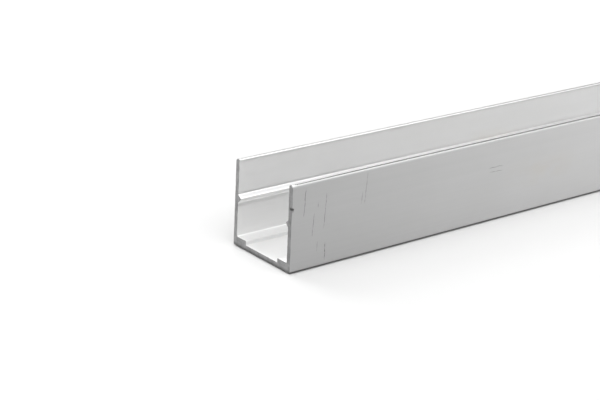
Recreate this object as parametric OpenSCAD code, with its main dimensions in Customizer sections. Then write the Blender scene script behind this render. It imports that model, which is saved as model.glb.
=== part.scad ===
// Extruded aluminium snap-in channel: one bar of U section, open at the top.
// The bar lies along X on its underside, with the origin at the middle of that face.

/* [Bar] */
// Length of the bar
bar_l = 500; // [100:10:3000]
// Width across the outer faces of the two side walls
channel_w = 20; // [16:0.5:60]
// Height from the underside to the tops of the side walls
channel_h = 20; // [17:0.5:60]
// Thickness of each side wall
wall_t = 1.1; // [0.8:0.05:2]
// Thickness of the floor plate between the two pads
floor_t = 1.1; // [0.8:0.05:2]

/* [Edges] */
// Radius along the outer edge of each wall's top
lip_out_r = 0.65; // [0.1:0.05:1.2]
// Radius along the inner edge of each wall's top
lip_in_r = 0.4; // [0.1:0.05:0.8]
// Radius along the two outer bottom corners
corner_r = 0.4; // [0.1:0.05:1]

/* [Floor pads] */
// Width of each pad, from the inner face of its wall
pad_w = 3.3; // [1.5:0.1:4]
// Height of each pad above the floor plate
pad_h = 1; // [0.4:0.1:1.5]
// Radius along the free top edge of each pad
pad_r = 0.25; // [0.05:0.05:0.35]
// Fillet radius where each pad meets its wall
foot_r = 0.3; // [0.1:0.05:0.6]

/* [Snap ribs] */
// Height of each rib's crest above the tops of the pads
crest_h = 8.8; // [5:0.1:10]
// How far each crest stands out from its wall
rib_d = 1; // [0.5:0.05:1.5]
// Height of the upper flank, from the crest to the wall
rib_rise = 1.05; // [0.6:0.05:1.6]
// Height of the lower flank, from the crest to the wall
rib_fall = 0.95; // [0.6:0.05:1.6]
// Radius of the crest
crest_r = 0.22; // [0.05:0.01:0.3]
// Fillet radius above the rib, where the upper flank meets the wall
upper_root_r = 0.25; // [0.05:0.05:0.6]
// Fillet radius under the rib, where the lower flank meets the wall
lower_root_r = 0.6; // [0.05:0.05:0.8]

/* [Hidden] */
$fn = 64;
// How far joined shapes run into each other
bite = 0.1;
wall_x = channel_w / 2 - wall_t;
pad_top = floor_t + pad_h;
crest_z = pad_top + crest_h;
// Together the two radii leave a narrow flat on top of the wall, however thin it is
top_out_r = min(lip_out_r, 0.6 * wall_t);
top_in_r = min(lip_in_r, 0.38 * wall_t);
// From the wall to the centre of the crest's arc
crest_run = rib_d - crest_r;
upper_slope = flank_slope(rib_rise);
lower_slope = flank_slope(rib_fall);

// Angle from level of a flank that starts drop away from the crest and ends tangent to its arc
function flank_slope(drop) =
    atan2(drop, crest_run) - asin(crest_r / norm([crest_run, drop]));

// Takes a square corner off around an arc whose centre is at the origin
module corner_cut(r) {
    difference() {
        square(r + bite);
        circle(r);
    }
}

// Fills a hollow corner at the origin, between faces that leave it at 0 and at opening degrees
module fillet(opening, r) {
    reach = r / tan(opening / 2);
    face = [cos(opening), sin(opening)];
    inward = [-sin(opening), cos(opening)];
    difference() {
        polygon([
            [reach, r],
            reach * face + bite * inward,
            -bite * [cos(opening / 2), sin(opening / 2)],
            [reach, -bite]
        ]);
        translate([reach, r]) circle(r);
    }
}

// Side wall on the +X side of the section, with its rounded top
module wall_section() {
    difference() {
        translate([wall_x, 0]) square([wall_t, channel_h]);
        translate([channel_w / 2 - top_out_r, channel_h - top_out_r]) corner_cut(top_out_r);
        translate([wall_x + top_in_r, channel_h - top_in_r]) mirror([1, 0]) corner_cut(top_in_r);
    }
}

// Raised pad at the foot of the wall
module pad_section() {
    difference() {
        translate([wall_x - pad_w, 0]) square([pad_w + bite, pad_top]);
        translate([wall_x - pad_w + pad_r, pad_top - pad_r]) mirror([1, 0]) corner_cut(pad_r);
    }
    translate([wall_x, pad_top]) rotate(90) fillet(90, foot_r);
}

// Snap rib on the wall's inner face: two flanks tangent to a rounded crest
module rib_section() {
    translate([wall_x, crest_z]) {
        translate([-crest_run, 0]) circle(crest_r);
        polygon([
            [bite, rib_rise],
            [0, rib_rise],
            [-crest_run - crest_r * sin(upper_slope), crest_r * cos(upper_slope)],
            [-crest_run, 0],
            [-crest_run - crest_r * sin(lower_slope), -crest_r * cos(lower_slope)],
            [0, -rib_fall],
            [bite, -rib_fall]
        ]);
        translate([0, rib_rise]) rotate(90) fillet(90 + upper_slope, upper_root_r);
        translate([0, -rib_fall])
            rotate(180 - lower_slope) fillet(90 + lower_slope, lower_root_r);
    }
}

// Half of the floor plate, to the centre line
module floor_section() {
    square([wall_x + bite, floor_t]);
}

module half_section() {
    difference() {
        union() {
            wall_section();
            pad_section();
            rib_section();
            floor_section();
        }
        translate([channel_w / 2 - corner_r, corner_r]) mirror([0, 1]) corner_cut(corner_r);
    }
}

module channel() {
    color([0.76, 0.77, 0.78])
        rotate([90, 0, 90])
            linear_extrude(bar_l, center = true) {
                half_section();
                mirror([1, 0]) half_section();
            }
}

channel();
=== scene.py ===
import math

import bmesh
import bpy
from mathutils import Matrix, Quaternion, Vector, noise


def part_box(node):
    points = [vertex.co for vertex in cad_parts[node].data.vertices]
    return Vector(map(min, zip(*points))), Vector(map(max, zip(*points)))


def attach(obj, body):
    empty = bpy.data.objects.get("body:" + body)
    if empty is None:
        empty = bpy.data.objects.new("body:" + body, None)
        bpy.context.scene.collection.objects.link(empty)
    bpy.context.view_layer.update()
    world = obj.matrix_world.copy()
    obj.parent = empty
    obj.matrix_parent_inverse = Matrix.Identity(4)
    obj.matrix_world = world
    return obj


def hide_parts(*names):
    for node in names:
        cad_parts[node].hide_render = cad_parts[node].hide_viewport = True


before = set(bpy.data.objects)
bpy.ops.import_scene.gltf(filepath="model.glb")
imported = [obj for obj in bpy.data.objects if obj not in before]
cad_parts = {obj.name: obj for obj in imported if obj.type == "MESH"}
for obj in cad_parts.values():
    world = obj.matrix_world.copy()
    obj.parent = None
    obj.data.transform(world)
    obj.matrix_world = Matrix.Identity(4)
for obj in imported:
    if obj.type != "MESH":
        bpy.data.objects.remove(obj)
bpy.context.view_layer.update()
barLow, barHigh = (Vector(corner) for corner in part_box("channel"))
mm = 0.001
hair = 0.05 * mm   # slack when points are picked by their place
print("frame loaded, bar is %.0f mm long" % ((barHigh.x - barLow.x) / mm))


# small helpers for shader nodes

def addNode(tree, kind, inputs=None, **settings):
    node = tree.nodes.new(kind)
    for name, value in settings.items():
        setattr(node, name, value)
    for socket, value in (inputs or {}).items():
        if isinstance(value, bpy.types.NodeSocket):
            tree.links.new(value, node.inputs[socket])
        else:
            node.inputs[socket].default_value = value
    return node


def mathNode(tree, operation, first, second=0.0, third=None, clamp=False):
    inputs = {0: first, 1: second}
    if third is not None:
        inputs[2] = third
    return addNode(tree, "ShaderNodeMath", inputs, operation=operation, use_clamp=clamp).outputs[0]


def multiply(tree, first, second):
    return mathNode(tree, "MULTIPLY", first, second)


def larger(tree, first, second):
    return mathNode(tree, "MAXIMUM", first, second)


def vectorNode(tree, operation, first, second, output="Vector"):
    node = addNode(tree, "ShaderNodeVectorMath", {0: first, 1: second}, operation=operation)
    return node.outputs[output]


def rangeNode(tree, value, fromLow, fromHigh, toLow, toHigh):
    inputs = {"Value": value, "From Min": fromLow, "From Max": fromHigh, "To Min": toLow, "To Max": toHigh}
    return addNode(tree, "ShaderNodeMapRange", inputs).outputs["Result"]


def noiseNode(tree, place, lumps, detail):
    # lumps is how many of them fit in a metre along x, y and z
    scaled = addNode(tree, "ShaderNodeMapping", {"Vector": place, "Scale": lumps})
    inputs = {"Vector": scaled.outputs[0], "Scale": 1.0, "Detail": detail, "Roughness": 0.5}
    return addNode(tree, "ShaderNodeTexNoise", inputs).outputs["Fac"]


def mixColours(tree, amount, first, second):
    node = addNode(tree, "ShaderNodeMix", data_type="RGBA")
    for index, value in ((0, amount), (6, first), (7, second)):
        if isinstance(value, bpy.types.NodeSocket):
            tree.links.new(value, node.inputs[index])
        else:
            node.inputs[index].default_value = value
    return node.outputs[2]


def newMaterial(name):
    material = bpy.data.materials.new(name)
    material.use_nodes = True
    tree = material.node_tree
    tree.nodes.clear()
    output = addNode(tree, "ShaderNodeOutputMaterial")
    shader = addNode(tree, "ShaderNodeBsdfPrincipled")
    tree.links.new(shader.outputs[0], output.inputs["Surface"])
    return material, tree, shader


# the section, in metres, measured from the middle of the underside
section = {
    "wall": 1.1 * mm,
    "floor": 1.1 * mm,
    "topOuterRadius": 0.65 * mm,
    "topInnerRadius": 0.4 * mm,
    "bottomRadius": 0.25 * mm,
    "padWidth": 3.3 * mm,
    "padHeight": 1.0 * mm,
    "padRadius": 0.25 * mm,
    "padFootRadius": 0.3 * mm,
    "padStepRadius": 0.08 * mm,
    "crestHeight": 8.95 * mm,    # above the pads
    "crestReach": 0.92 * mm,
    "crestRadius": 0.22 * mm,
    "ribRise": 0.82 * mm,
    "ribFall": 1.1 * mm,
    "ribUpperRoot": 0.15 * mm,
    "ribLowerRoot": 0.6 * mm,
    "arcSteps": 6,
}

padTop = section["floor"] + section["padHeight"]
crest = padTop + section["crestHeight"]


def ribTip():
    # where the two flanks would meet if the crest had no radius, as distance from the wall and height
    run = section["crestReach"] - section["crestRadius"]

    def slope(drop):
        return math.atan2(drop, run) - math.asin(section["crestRadius"] / math.hypot(run, drop))

    upper = math.tan(slope(section["ribRise"]))
    lower = math.tan(slope(section["ribFall"]))
    reach = (section["ribRise"] + section["ribFall"]) / (upper + lower)
    return reach, section["ribRise"] - reach * upper


def roundCorner(before, corner, after, radius, steps):
    # an arc of this radius that touches both straight sides of the corner
    into = (before - corner).normalized()
    out = (after - corner).normalized()
    half = into.angle(out) / 2
    middle = (into + out).normalized()
    centre = corner + middle * (radius / math.sin(half))
    start = corner + into * (radius / math.tan(half)) - centre
    turn = start.angle_signed(corner + out * (radius / math.tan(half)) - centre)
    return [centre + Matrix.Rotation(-turn * step / steps, 2) @ start for step in range(steps + 1)]


def halfOutline():
    halfWidth, height = barHigh.y, barHigh.z
    wallFace = halfWidth - section["wall"]
    padEdge = wallFace - section["padWidth"]
    tipReach, tipHeight = ribTip()
    corners = [
        (0, 0, 0),
        (halfWidth, 0, section["bottomRadius"]),
        (halfWidth, height, section["topOuterRadius"]),
        (wallFace, height, section["topInnerRadius"]),
        (wallFace, crest + section["ribRise"], section["ribUpperRoot"]),
        (wallFace - tipReach, crest + tipHeight, section["crestRadius"]),
        (wallFace, crest - section["ribFall"], section["ribLowerRoot"]),
        (wallFace, padTop, section["padFootRadius"]),
        (padEdge, padTop, section["padRadius"]),
        (padEdge, section["floor"], section["padStepRadius"]),
        (0, section["floor"], 0),
    ]
    places = [Vector(corner[:2]) for corner in corners]
    outline = [places[0]]
    for index in range(1, len(corners) - 1):
        before, corner, after = places[index - 1:index + 2]
        outline += roundCorner(before, corner, after, corners[index][2], section["arcSteps"])
    return outline + [places[-1]]


def fullOutline():
    # anticlockwise seen from the +x end: along the underside, up the +y wall, over and back
    half = halfOutline()
    mirrored = [Vector((-point.x, point.y)) for point in reversed(half[1:-1])]
    return half + mirrored


def outlineNormals(outline):
    normals = []
    for index, point in enumerate(outline):
        before = (point - outline[index - 1]).normalized()
        after = (outline[(index + 1) % len(outline)] - point).normalized()
        along = (before + after).normalized()
        normals.append(Vector((along.y, -along.x)))
    return normals


def spreadAlong(outline, gap):
    # more points on the straight sides, so that wear can move them
    points = []
    for index, point in enumerate(outline):
        after = outline[(index + 1) % len(outline)]
        pieces = max(1, math.ceil((after - point).length / gap))
        points += [point.lerp(after, piece / pieces) for piece in range(pieces)]
    return points


# the saw cut at each end
cut = {
    "edgeBreak": 0.05 * mm,      # how far the sharp rim is rubbed back
    "ripple": 0.09 * mm,         # unevenness of the rim
    "rippleLength": 0.8 * mm,
    "leastBreak": 0.03 * mm,
    "mostBreak": 0.2 * mm,       # kept below the smallest outward radius of the section
    "rings": 4,
    "pointGap": 0.4 * mm,
    "steps": ((2, 0.25), (8, 0.5), (24, 1.0), (250, 10.0)),   # mm from the end, mm between rings
    "firstRing": 0.9 * mm,
}

# knocks on the near end, heights above the underside, depths into the metal
knocks = {
    "nickHeight": 14.45 * mm,
    "nickTall": 0.6 * mm,
    "nickDeep": 0.5 * mm,
    "burrLow": 12.8 * mm,        # the saw tore this stretch of the outer edge
    "burrHigh": 19.2 * mm,
    "burrFade": 0.5 * mm,
    "burrDeep": 0.16 * mm,
    "burrEven": 0.6,             # the share of the tear that is the same all along
    "burrLength": 0.9 * mm,
    "burrPattern": 3.1,
    "tipRub": 0.2 * mm,          # the tips of both walls, where the bar has been stood on end
    "dentReach": 1.5 * mm,       # top outer corner of the near wall
    "dentDeep": 0.1 * mm,
    "dentWay": (0, 0.5, -0.85),
    "leanDeep": 0.3 * mm,        # the near wall is pressed in a little at the cut, most at its top
    "droop": 0.25 * mm,          # and down
    "leanReach": 40 * mm,
}


def stations():
    # x of every ring of the bar between its two cut ends
    length = barHigh.x - barLow.x
    place = cut["firstRing"]
    rings = []
    for reach, step in cut["steps"]:
        while place < min(reach * mm, length / 2):
            rings.append(place)
            place += step * mm
    return [barLow.x + ring for ring in rings] + [barHigh.x - ring for ring in reversed(rings)]


def window(value, low, high, fade):
    # 1 between low and high, falling to 0 over the fade distance outside them
    return max(0.0, min(1.0, (value - low) / fade + 1, (high - value) / fade + 1))


def knockedBack(point, normal):
    # extra rim wear on the near end, where point is (y, z)
    extra = 0.0
    if point.y > barHigh.z - section["topOuterRadius"]:
        extra = knocks["tipRub"] * max(0.0, normal.y)
    if normal.x < -0.9 and point.x < barLow.y + hair:
        spot = Vector((knocks["burrPattern"], 0, point.y / knocks["burrLength"]))
        stretch = window(point.y, knocks["burrLow"], knocks["burrHigh"], knocks["burrFade"])
        extra += knocks["burrDeep"] * (knocks["burrEven"] + noise.noise(spot)) * stretch
        offset = (point.y - knocks["nickHeight"]) / (knocks["nickTall"] / 2)
        extra += knocks["nickDeep"] * max(0.0, 1 - offset * offset)
    return extra


def endRings(endX, inward, outline, normals):
    # rings that round the rim over from the end face to the sides
    sizes = []
    for point, normal in zip(outline, normals):
        spot = Vector((point.x, point.y, endX)) / cut["rippleLength"]
        size = cut["edgeBreak"] + cut["ripple"] * noise.noise(spot)
        size = max(cut["leastBreak"], min(cut["mostBreak"], size))
        sizes.append(size + (knockedBack(point, normal) if inward > 0 else 0))
    rings = []
    for ring in range(cut["rings"] + 1):
        angle = math.pi / 2 * ring / cut["rings"]
        points = []
        for point, normal, size in zip(outline, normals, sizes):
            side = point - normal * size * (1 - math.sin(angle))
            points.append(Vector((endX + inward * size * (1 - math.cos(angle)), side.x, side.y)))
        rings.append(points)
    return rings


def pressedIn(place):
    # leans the near wall in and down towards its cut end, and dents its top outer corner there
    if place.y < barLow.y + section["wall"] + hair:
        near = max(0.0, 1 - (place.x - barLow.x) / knocks["leanReach"])
        pressed = Vector((0, knocks["leanDeep"], -knocks["droop"]))
        place = place + pressed * near * near * place.z / barHigh.z
    corner = Vector((barLow.x, barLow.y, barHigh.z))
    offset = (place - corner).length / knocks["dentReach"]
    if offset >= 1:
        return place
    return place + Vector(knocks["dentWay"]) * knocks["dentDeep"] * (1 - offset * offset) ** 2


def buildBar():
    outline = spreadAlong(fullOutline(), cut["pointGap"])
    normals = outlineNormals(outline)
    rings = endRings(barLow.x, 1, outline, normals)
    rings += [[Vector((x, point.x, point.y)) for point in outline] for x in stations()]
    rings += list(reversed(endRings(barHigh.x, -1, outline, normals)))
    mesh = bmesh.new()
    loops = [[mesh.verts.new(pressedIn(point)) for point in ring] for ring in rings]
    count = len(outline)
    for ring, (first, second) in enumerate(zip(loops, loops[1:])):
        onRim = min(ring, len(loops) - 2 - ring) < cut["rings"]
        for index in range(count):
            after = (index + 1) % count
            face = mesh.faces.new((first[index], second[index], second[after], first[after]))
            face.material_index = 1 if onRim else 0
    for loop in (loops[0], loops[-1]):
        mesh.faces.new(loop).material_index = 1
    bmesh.ops.recalc_face_normals(mesh, faces=mesh.faces)
    bmesh.ops.triangulate(mesh, faces=[face for face in mesh.faces if len(face.verts) > 4])
    for face in mesh.faces:
        face.smooth = True
    data = bpy.data.meshes.new("channelBar")
    mesh.to_mesh(data)
    mesh.free()
    bar = bpy.data.objects.new("channelBar", data)
    bpy.context.scene.collection.objects.link(bar)
    return bar


# satin anodised aluminium on every extruded face, lengths in mm
satin = {
    "colour": (0.797, 0.797, 0.797, 1),
    "shade": (0.777, 0.777, 0.774, 1),
    "outside": 0.75,             # painted shade: the outer faces are darker than the inside
    "outsideEdge": (0.6, 0.45),  # how far in from the side faces that fades
    "undersideEdge": (0.1, 0.02),
    "nearEndShade": 0.535,            # and painted shade darkens the near end
    "nearInsideShade": 0.92,
    "shadeReach": 120,
    "warm": (1.0, 0.985, 0.96, 1),
    "scuffed": (0.3, 0.3, 0.3, 1),
    "paintedFootShade": 0.08,           # painted shade: how much light the bottom corners of the side faces keep
    "footShadeHeight": (0.1, 0.45),   # above the underside, from full painted shade to none
    "roughness": 0.55,
    "roughnessSpread": 0.06,
    "rubbedRoughness": 0.27,     # the tops of the walls are rubbed smooth
    "rubbedHeight": (0.8, 0.4),  # below the top, fading in
    "innerRoughness": 0.3,       # so are the pads' edges and the ribs, where a strip has slid
    "footFade": 0.3,
    "edgeFade": 0.15,
    "ribBelow": (2.15, 1.85),    # how far below and above the crest the ribs' polish fades in
    "ribAbove": (1.35, 1.05),
    "relief": 0.02,
    "reliefStrength": 0.2,
    "dieShare": 0.5,             # of the relief, and the grain's share
    "grainShare": 0.35,
    "cloudLumps": (60, 140, 140),        # lumps in a metre along x, y and z
    "cloudRange": (0.3, 0.7),            # the part of the noise that shows
    "blotchLumps": (150, 150, 220),
    "blotchRange": (0.45, 0.6),
    "dieLumps": (6, 2600, 2600),         # the lines that the die drew along the bar
    "bandLumps": (2, 500, 500),
    "streakRange": (0.35, 0.65),
    "grainLumps": (5200, 5200, 5200),
}

# handling marks on the near wall's outer face, in mm along from the near end and up from the underside:
# where each starts, where it ends, half its width, how dark it is
marks = {
    "scuffs": (
        ((3.3, 11.9), (3.6, 18.6), 0.10, 0.45),
        ((5.7, 7.1), (6.1, 12.6), 0.10, 0.35),
        ((7.0, 13.4), (7.1, 15.0), 0.16, 0.30),
        ((7.2, 3.4), (7.3, 6.1), 0.10, 0.35),
        ((8.8, 8.4), (9.3, 16.6), 0.12, 0.30),
        ((9.4, 1.0), (9.4, 5.4), 0.12, 0.55),
        ((9.5, 2.1), (9.4, 3.0), 0.20, 0.50),
        ((19.0, 11.9), (19.3, 14.9), 0.12, 0.30),
        ((20.0, 11.8), (20.5, 19.2), 0.12, 0.35),
        ((57.0, 13.1), (62.0, 13.1), 0.08, 0.45),
        ((57.5, 12.1), (62.0, 11.9), 0.08, 0.40),
        ((12.0, 4.8), (12.1, 5.3), 0.22, 0.30),
        ((0.4, 13.6), (0.4, 14.8), 0.25, 0.45),
    ),
    "strength": 2.5,
    "fade": 0.8,                 # mm over which the ends of a scuff die away
    "wander": 0.25,              # mm
    "wanderLumps": (500, 500, 500),
    "brokenLumps": (2500, 2500, 1800),
    "brokenRange": (0.35, 0.6),
    "brokenLeast": 0.25,
    "skin": 0.4,                 # mm in from the outer face that still takes the marks
    "warmMiddle": (75, 0, 10),   # a faint warm patch, mm along, across and up
    "warmReach": (14, 40, 5),
    "warmFade": (0.3, 1),
}


def scuffMask(tree, along, height, scuff):
    (startX, startZ), (endX, endZ), halfWidth, strength = scuff
    run = Vector((endX - startX, endZ - startZ))
    reach = run.length
    run.normalize()
    fromX = mathNode(tree, "SUBTRACT", along, startX)
    fromZ = mathNode(tree, "SUBTRACT", height, startZ)
    ahead = mathNode(tree, "MULTIPLY_ADD", fromX, run.x, multiply(tree, fromZ, run.y))
    aside = mathNode(tree, "MULTIPLY_ADD", fromX, run.y, multiply(tree, fromZ, -run.x))
    core = rangeNode(tree, mathNode(tree, "ABSOLUTE", aside), 0, halfWidth, 1, 0)
    rise = rangeNode(tree, ahead, 0, marks["fade"], 0, 1)
    fall = rangeNode(tree, ahead, reach - marks["fade"], reach, 1, 0)
    return multiply(tree, multiply(tree, core, multiply(tree, rise, fall)), strength)


def scuffs(tree, place, axes):
    # where the near wall's outer face is scuffed, 0 to 1
    wander = marks["wander"]
    wobble = rangeNode(tree, noiseNode(tree, place, marks["wanderLumps"], 2), 0, 1, -wander, wander)
    along = mathNode(tree, "ADD", axes["X"], wobble)
    height = mathNode(tree, "ADD", axes["Z"], wobble)
    total = None
    for scuff in marks["scuffs"]:
        mask = scuffMask(tree, along, height, scuff)
        total = mask if total is None else larger(tree, total, mask)
    broken = noiseNode(tree, place, marks["brokenLumps"], 2)
    broken = rangeNode(tree, broken, *marks["brokenRange"], marks["brokenLeast"], 1)
    total = multiply(tree, total, broken)
    total = mathNode(tree, "MULTIPLY", total, marks["strength"], clamp=True)
    outside = mathNode(tree, "LESS_THAN", axes["Y"], barLow.y / mm + marks["skin"])
    return multiply(tree, total, outside)


def warmPatch(tree, place, inMm):
    shifted = vectorNode(tree, "SUBTRACT", inMm, marks["warmMiddle"])
    scaled = vectorNode(tree, "DIVIDE", shifted, marks["warmReach"])
    distance = addNode(tree, "ShaderNodeVectorMath", {0: scaled}, operation="LENGTH").outputs["Value"]
    blotch = noiseNode(tree, place, satin["blotchLumps"], 2)
    blotch = rangeNode(tree, blotch, *satin["blotchRange"], 0, 1)
    return multiply(tree, rangeNode(tree, distance, *marks["warmFade"], 1, 0), blotch)


def outerFaces(tree, axes):
    # two masks: the outer side faces, and those with the underside
    low, high = (barHigh.y / mm - edge for edge in satin["outsideEdge"])
    side = rangeNode(tree, mathNode(tree, "ABSOLUTE", axes["Y"]), low, high, 0, 1)
    return side, larger(tree, side, rangeNode(tree, axes["Z"], *satin["undersideEdge"], 0, 1))


def satinColour(tree, place, inMm, axes, scuffed):
    clouds = noiseNode(tree, place, satin["cloudLumps"], 4)
    clouds = rangeNode(tree, clouds, *satin["cloudRange"], 0, 1)
    colour = mixColours(tree, clouds, satin["colour"], satin["shade"])
    side, outer = outerFaces(tree, axes)
    # painted shade: darker on the outer faces and towards the near end, inside less so
    outside = rangeNode(tree, axes["X"], 0, satin["shadeReach"], satin["nearEndShade"], satin["outside"])
    insideShade = rangeNode(tree, axes["X"], 0, satin["shadeReach"], satin["nearInsideShade"], 1)
    paintedShade = mathNode(tree, "MULTIPLY_ADD", outer, mathNode(tree, "SUBTRACT", outside, insideShade), insideShade)
    # painted shade at the bottom of the side faces, where the bar meets the table
    footShade = rangeNode(tree, axes["Z"], *satin["footShadeHeight"], satin["paintedFootShade"], 1)
    paintedShade = multiply(tree, paintedShade, larger(tree, footShade, mathNode(tree, "SUBTRACT", 1.0, side)))
    tint = mixColours(tree, warmPatch(tree, place, inMm), (1, 1, 1, 1), satin["warm"])
    tint = mixColours(tree, scuffed, tint, satin["scuffed"])
    return vectorNode(tree, "MULTIPLY", vectorNode(tree, "MULTIPLY", colour, paintedShade), tint)


def smoothInside(tree, axes):
    # 1 at the foot of each wall, on the pads' edges and on the ribs
    pad = padTop / mm
    footTop = pad + section["padFootRadius"] / mm
    foot = rangeNode(tree, axes["Z"], footTop + satin["footFade"], footTop, 0, 1)
    foot = multiply(tree, foot, rangeNode(tree, axes["Z"], pad + 0.01, pad + 0.04, 0, 1))
    edgeEnd = (barHigh.y - section["wall"] - section["padWidth"] + section["padRadius"]) / mm
    fromMiddle = mathNode(tree, "ABSOLUTE", axes["Y"])
    edge = rangeNode(tree, fromMiddle, edgeEnd + satin["edgeFade"], edgeEnd, 0, 1)
    edgeLow = pad - section["padRadius"] / mm
    edge = multiply(tree, edge, rangeNode(tree, axes["Z"], edgeLow - 0.01, edgeLow + 0.03, 0, 1))
    low, high = (crest / mm - below for below in satin["ribBelow"])
    ribs = rangeNode(tree, axes["Z"], low, high, 0, 1)
    low, high = (crest / mm + above for above in satin["ribAbove"])
    ribs = multiply(tree, ribs, rangeNode(tree, axes["Z"], low, high, 0, 1))
    inside = mathNode(tree, "SUBTRACT", 1.0, outerFaces(tree, axes)[1])
    return multiply(tree, larger(tree, larger(tree, foot, edge), ribs), inside)


def satinRoughness(tree, place, axes, dieLines):
    bands = noiseNode(tree, place, satin["bandLumps"], 2)
    streaks = mathNode(tree, "MULTIPLY_ADD", bands, 0.5, multiply(tree, dieLines, 0.5))
    plain, spread = satin["roughness"], satin["roughnessSpread"]
    roughness = rangeNode(tree, streaks, *satin["streakRange"], plain - spread / 2, plain + spread / 2)
    low, high = (barHigh.z / mm - drop for drop in satin["rubbedHeight"])
    rubbed = rangeNode(tree, axes["Z"], low, high, 0, 1)
    roughness = mathNode(tree, "ADD", roughness, multiply(tree, rubbed, satin["rubbedRoughness"] - plain))
    worn = smoothInside(tree, axes)
    return mathNode(tree, "ADD", roughness, multiply(tree, worn, satin["innerRoughness"] - plain))


def makeSatin():
    material, tree, shader = newMaterial("satinAluminium")
    place = addNode(tree, "ShaderNodeTexCoord").outputs["Object"]
    fromEnd = vectorNode(tree, "ADD", place, (-barLow.x, 0, 0))
    inputs = {0: fromEnd, "Scale": 1 / mm}
    inMm = addNode(tree, "ShaderNodeVectorMath", inputs, operation="SCALE").outputs[0]
    axes = addNode(tree, "ShaderNodeSeparateXYZ", {0: inMm}).outputs
    scuffed = scuffs(tree, place, axes)
    dieLines = noiseNode(tree, place, satin["dieLumps"], 3)
    grain = noiseNode(tree, place, satin["grainLumps"], 2)
    tree.links.new(satinColour(tree, place, inMm, axes, scuffed), shader.inputs["Base Color"])
    tree.links.new(satinRoughness(tree, place, axes, dieLines), shader.inputs["Roughness"])
    grain = multiply(tree, grain, satin["grainShare"])
    relief = mathNode(tree, "MULTIPLY_ADD", dieLines, satin["dieShare"], grain)
    relief = mathNode(tree, "SUBTRACT", relief, scuffed)
    inputs = {"Height": relief, "Strength": satin["reliefStrength"], "Distance": satin["relief"] * mm}
    tree.links.new(addNode(tree, "ShaderNodeBump", inputs).outputs[0], shader.inputs["Normal"])
    shader.inputs["Metallic"].default_value = 1.0
    return material


# bare metal on the two cut ends, scored by the saw
sawn = {
    "colour": (0.37, 0.37, 0.37, 1),
    "shade": (0.28, 0.28, 0.28, 1),
    "paintedFootDark": 0.5,             # painted shade: how much light the lowest part keeps
    "footShadeHeight": (0.1 * mm, 0.8 * mm),
    "nickDark": 0.35,            # the nick is darker: it keeps this much light
    "nickReach": 0.35 * mm,
    "nickAcross": (0.7 * mm, 0.9 * mm),
    "lastWall": 0.84,            # the saw left the -y wall rougher and darker
    "lastFade": 0.5 * mm,
    "lastLow": (2 * mm, 5 * mm),         # but not its foot
    "lowRoughness": 0.45,
    "highRoughness": 0.65,
    "relief": 0.05 * mm,
    "reliefStrength": 0.4,
    "scoringLumps": (400, 500, 3500),    # lumps in a metre along x, y and z
    "scoringRange": (0.3, 0.7),          # the part of the noise that shows
    "patchLumps": (900, 900, 500),
    "patchRange": (0.35, 0.65),
}


def sawnDark(tree, axes):
    # how much light the foot (painted shade), the last wall and the nick keep
    foot = rangeNode(tree, axes["Z"], *sawn["footShadeHeight"], sawn["paintedFootDark"], 1)
    wallFace = barLow.y + section["wall"]
    last = rangeNode(tree, axes["Y"], wallFace, wallFace + sawn["lastFade"], sawn["lastWall"], 1)
    last = larger(tree, last, rangeNode(tree, axes["Z"], *sawn["lastLow"], 1, 0))
    fromNick = mathNode(tree, "ABSOLUTE", mathNode(tree, "SUBTRACT", axes["Z"], knocks["nickHeight"]))
    pit = rangeNode(tree, fromNick, sawn["nickReach"] / 2, sawn["nickReach"], sawn["nickDark"], 1)
    low, high = (barLow.y + across for across in sawn["nickAcross"])
    pit = larger(tree, pit, rangeNode(tree, axes["Y"], low, high, 0, 1))
    pit = larger(tree, pit, mathNode(tree, "GREATER_THAN", axes["X"], 0.0))   # the near end's alone
    return multiply(tree, multiply(tree, foot, last), pit)


def makeSawn():
    material, tree, shader = newMaterial("sawnAluminium")
    place = addNode(tree, "ShaderNodeTexCoord").outputs["Object"]
    axes = addNode(tree, "ShaderNodeSeparateXYZ", {0: place}).outputs
    scoring = noiseNode(tree, place, sawn["scoringLumps"], 3)
    patches = noiseNode(tree, place, sawn["patchLumps"], 3)
    patches = rangeNode(tree, patches, *sawn["patchRange"], 0, 1)
    colour = mixColours(tree, patches, sawn["colour"], sawn["shade"])
    shaded = vectorNode(tree, "MULTIPLY", colour, sawnDark(tree, axes))
    tree.links.new(shaded, shader.inputs["Base Color"])
    sheen = rangeNode(tree, scoring, *sawn["scoringRange"], sawn["lowRoughness"], sawn["highRoughness"])
    tree.links.new(sheen, shader.inputs["Roughness"])
    inputs = {"Height": scoring, "Strength": sawn["reliefStrength"], "Distance": sawn["relief"]}
    tree.links.new(addNode(tree, "ShaderNodeBump", inputs).outputs[0], shader.inputs["Normal"])
    shader.inputs["Metallic"].default_value = 1.0
    return material


bar = buildBar()
bar.data.materials.append(makeSatin())
bar.data.materials.append(makeSawn())
weighted = bar.modifiers.new("flatSides", "WEIGHTED_NORMAL")
weighted.keep_sharp = True
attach(bar, "root")
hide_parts("channel")
print("bar built, %d faces" % len(bar.data.polygons))


# the table it lies on
table = {
    "reach": 12.0,               # metres from its middle to each edge
    "burrGap": 0.26 * mm,        # the bar stands on the burrs of its cut ends
    "colour": (0.45, 0.45, 0.45, 1),
    "roughness": 0.9,
    "gloss": 0.2,
}


def buildFloor():
    data = bpy.data.meshes.new("floorSheet")
    reach, level = table["reach"], -table["burrGap"]
    corners = [(x * reach, y * reach, level) for x, y in ((-1, -1), (1, -1), (1, 1), (-1, 1))]
    data.from_pydata(corners, [], [(0, 1, 2, 3)])
    floor = bpy.data.objects.new("floorSheet", data)
    bpy.context.scene.collection.objects.link(floor)
    material, tree, shader = newMaterial("whiteSheet")
    shader.inputs["Base Color"].default_value = table["colour"]
    shader.inputs["Roughness"].default_value = table["roughness"]
    shader.inputs["Specular IOR Level"].default_value = table["gloss"]
    data.materials.append(material)


buildFloor()

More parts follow.
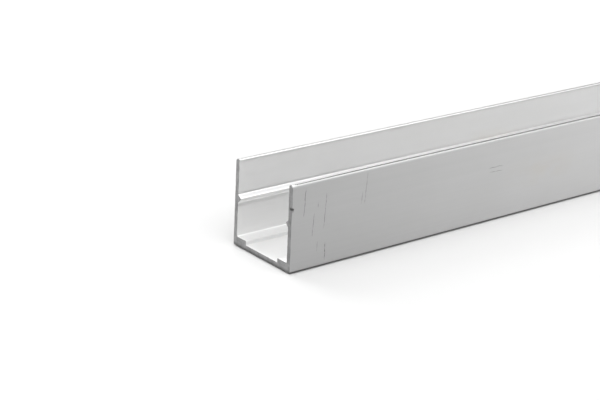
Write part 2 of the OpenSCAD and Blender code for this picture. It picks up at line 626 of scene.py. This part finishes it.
# broad soft lamps: heading from +x towards +y and height in degrees, then strength
light = {
    "lamps": {
        "overhead": (0, 90, 1.1),
        "behindHigh": (75, 60, 1.0),
        "leftHigh": (180, 60, 0.95),
        "frontHigh": (240, 60, 1.1),
        "rightFront": (310, 51, 0.8),
        "rightLow": (312, 17, 0.48),
        "farRight": (48, 28, 0.35),
        "behind": (95, 35, 1.15),
        "left": (180, 35, 0.4),
        "frontLeft": (225, 35, 0.8),
        "front": (270, 35, 0.9),
        "behindLow": (90, 12, 0.75),
    },
    "spread": 40,                # degrees across, for soft shadows
    "sky": 0.22,
}


def buildLight():
    for name, (heading, height, strength) in light["lamps"].items():
        data = bpy.data.lights.new(name, "SUN")
        data.energy = strength
        data.angle = math.radians(light["spread"])
        lamp = bpy.data.objects.new(name, data)
        bpy.context.scene.collection.objects.link(lamp)
        turn, lift = math.radians(heading), math.radians(height)
        toLamp = Vector((math.cos(lift) * math.cos(turn), math.cos(lift) * math.sin(turn), math.sin(lift)))
        lamp.rotation_mode = "QUATERNION"
        lamp.rotation_quaternion = toLamp.to_track_quat("Z", "Y")
    world = bpy.data.worlds.new("studio")
    bpy.context.scene.world = world
    world.use_nodes = True
    background = world.node_tree.nodes["Background"]
    background.inputs["Color"].default_value = (1, 1, 1, 1)
    background.inputs["Strength"].default_value = light["sky"]


buildLight()

# the camera stands off the near cut end, in front of the -y wall
view = {
    "place": (-206.4 * mm, -264.38 * mm, 139.79 * mm),   # from the middle of the near end's bottom edge
    "heading": 50.688,           # degrees from +x towards +y
    "dip": 20.579,               # degrees below level
    "roll": 2.778,
    "lens": 101.03,
    "sensor": 36,
    "sees": (0.01, 100),         # nearest and farthest, metres
}


def buildCamera():
    data = bpy.data.cameras.new("camera")
    data.lens = view["lens"]
    data.sensor_width = view["sensor"]
    data.clip_start, data.clip_end = view["sees"]
    camera = bpy.data.objects.new("camera", data)
    bpy.context.scene.collection.objects.link(camera)
    heading, dip = math.radians(view["heading"]), math.radians(view["dip"])
    look = Vector((math.cos(dip) * math.cos(heading), math.cos(dip) * math.sin(heading), -math.sin(dip)))
    turn = look.to_track_quat("-Z", "Y") @ Quaternion((0, 0, 1), math.radians(view["roll"]))
    camera.rotation_mode = "QUATERNION"
    camera.rotation_quaternion = turn
    camera.location = Vector((barLow.x, 0, barLow.z)) + Vector(view["place"])
    bpy.context.scene.camera = camera


buildCamera()
bpy.context.scene.view_settings.view_transform = "Standard"
print("camera and light set")
